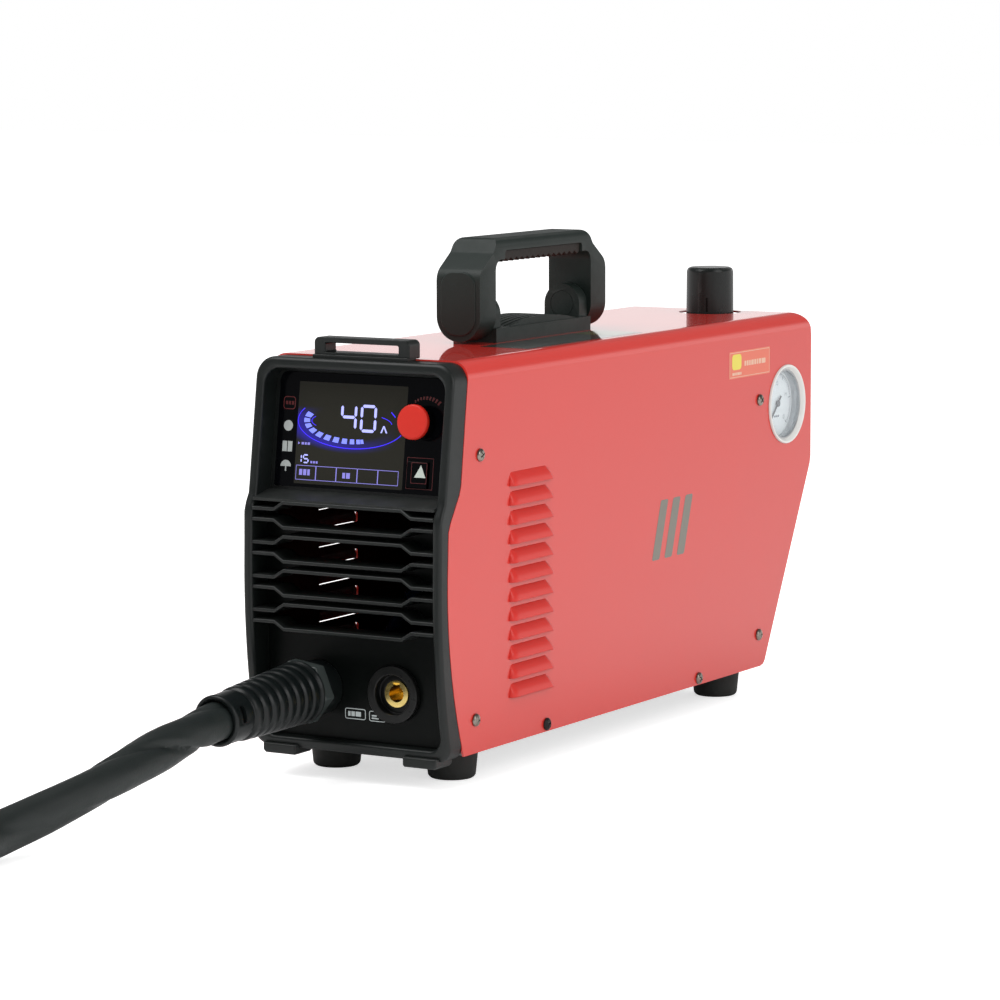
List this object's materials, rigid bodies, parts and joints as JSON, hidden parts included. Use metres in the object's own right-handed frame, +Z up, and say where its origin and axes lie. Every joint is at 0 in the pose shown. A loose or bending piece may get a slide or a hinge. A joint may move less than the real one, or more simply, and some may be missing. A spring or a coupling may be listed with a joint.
{
  "type": "plasma cutter unit",
  "caption": "Portable inverter plasma cutter: louvred sheet-steel case, display, folding handle, filter regulator with gauge, earth socket, and torch on its lead.",
  "frame": {"origin": "centre of the case's footprint on the floor, under its rubber feet, midway between the front of the bezel and the rear edge of the hood", "axes": "+Z up, -Y towards the front with the display and the connectors, +X to the right seen from the front"},
  "size_m": [0.3208, 1.0253, 0.286],
  "materials": {
    "red_paint": "gloss powder coat",
    "grey_paint": "satin",
    "plated_steel": "zinc plated",
    "black_steel": "blackened",
    "black_plastic": "fine moulded texture",
    "display_black": "gloss",
    "lcd_grey": "gloss",
    "circuit_board": "solder mask",
    "red_plastic": "satin",
    "grip_rubber": "textured",
    "black_rubber": "matt",
    "brass": "turned",
    "lead_sleeve": "braided sleeve",
    "cup_ceramic": "fired",
    "copper": "turned",
    "clear_bowl": "clear",
    "clear_lens": "clear",
    "white_plastic": "satin",
    "blue_hose": "satin",
    "aluminium": "extruded",
    "capacitor_black": "sleeved",
    "ferrite": "sintered"
  },
  "bodies": {
    "case": {"cover": "red_paint", "base_tray": "plated_steel", "front_bezel": "black_plastic", "display_window": "display_black", "display_module": "lcd_grey", "control_board": "circuit_board", "rotary_encoder": "plated_steel", "handle_base": "black_plastic", "handle_pivots": "plated_steel", "handle_screws": "plated_steel", "cover_screws": "plated_steel", "black_screws": "black_steel", "rubber_feet": "black_rubber", "foot_screws": "plated_steel", "socket_body": "black_plastic", "socket_insert": "brass", "socket_nut": "black_plastic", "gland_body": "black_plastic", "gland_nut": "black_plastic", "lead_boot": "black_rubber", "torch_lead": "lead_sleeve", "torch_lead_coil": "lead_sleeve", "torch_lead_end": "lead_sleeve", "torch_handle": "black_plastic", "torch_head": "black_plastic", "shield_cup": "cup_ceramic", "torch_nozzle": "copper", "rear_panel": "grey_paint", "fan_frame": "black_plastic", "fan_guard": "plated_steel", "switch_body": "black_plastic", "mains_gland": "black_plastic", "regulator_bracket": "plated_steel", "regulator_body": "grey_paint", "regulator_nut": "black_plastic", "filter_bowl": "clear_bowl", "gauge_case": "plated_steel", "gauge_dial": "white_plastic", "gauge_lens": "clear_lens", "gauge_ring": "white_plastic", "air_inlet": "brass", "air_pipe": "brass", "solenoid_valve": "brass", "air_hose": "blue_hose", "torch_manifold": "brass", "main_board": "circuit_board", "heat_sinks": "aluminium", "capacitors": "capacitor_black", "transformer": "ferrite", "output_choke": "copper"},
    "knob": {"adjust_knob": "red_plastic"},
    "button": {"push_button": "display_black"},
    "handle": {"handle_bail": "black_plastic", "handle_grip": "grip_rubber"},
    "regulator_stem": {"regulator_spindle": "plated_steel"},
    "regulator_cap": {"regulator_knob": "black_plastic"},
    "needle": {"gauge_needle": "black_steel"},
    "fan": {"fan_rotor": "black_plastic"},
    "rocker": {"switch_rocker": "red_plastic"},
    "trigger": {"torch_trigger": "red_plastic"}
  },
  "joints": [
    {"name": "knob_turn", "type": "hinge", "parent": "case", "child": "knob", "pos_m": [0.0372, -0.19556, 0.19504], "axis": [0, -0.9912, 0.1323], "continuous": true},
    {"name": "button_press", "type": "slide", "parent": "case", "child": "button", "axis": [0, 0.9912, -0.1323], "range_m": [0, 0.001], "stiffness_N_per_m": 1200, "springref_m": -0.0005},
    {"name": "handle_fold", "type": "hinge", "parent": "case", "child": "handle", "pos_m": [0, -0.02475, 0.2432], "axis": [0, 1, 0], "range_deg": [-90, 90]},
    {"name": "regulator_turn", "type": "hinge", "parent": "case", "child": "regulator_stem", "pos_m": [0.01, 0.185, 0.2], "axis": [0, 0, 1], "range_deg": [-900, 900]},
    {"name": "regulator_lift", "type": "slide", "parent": "regulator_stem", "child": "regulator_cap", "axis": [0, 0, 1], "range_m": [0, 0.003]},
    {"name": "needle_turn", "type": "hinge", "parent": "case", "child": "needle", "pos_m": [0.056, 0.185, 0.174], "axis": [-1, 0, 0], "range_deg": [0, 270], "stiffness_Nm_per_rad": 0.00005},
    {"name": "fan_spin", "type": "hinge", "parent": "case", "child": "fan", "pos_m": [0.008, 0.14, 0.072], "axis": [0, 1, 0], "continuous": true},
    {"name": "rocker_switch", "type": "hinge", "parent": "case", "child": "rocker", "pos_m": [-0.038, 0.156, 0.175], "axis": [1, 0, 0], "range_deg": [0, 20]},
    {"name": "trigger_pull", "type": "hinge", "parent": "case", "child": "trigger", "pos_m": [-0.1905, -0.426, 0.0165], "axis": [0, 0, 1], "range_deg": [0, 4], "stiffness_Nm_per_rad": 0.2, "springref_deg": -2.86}
  ]
}
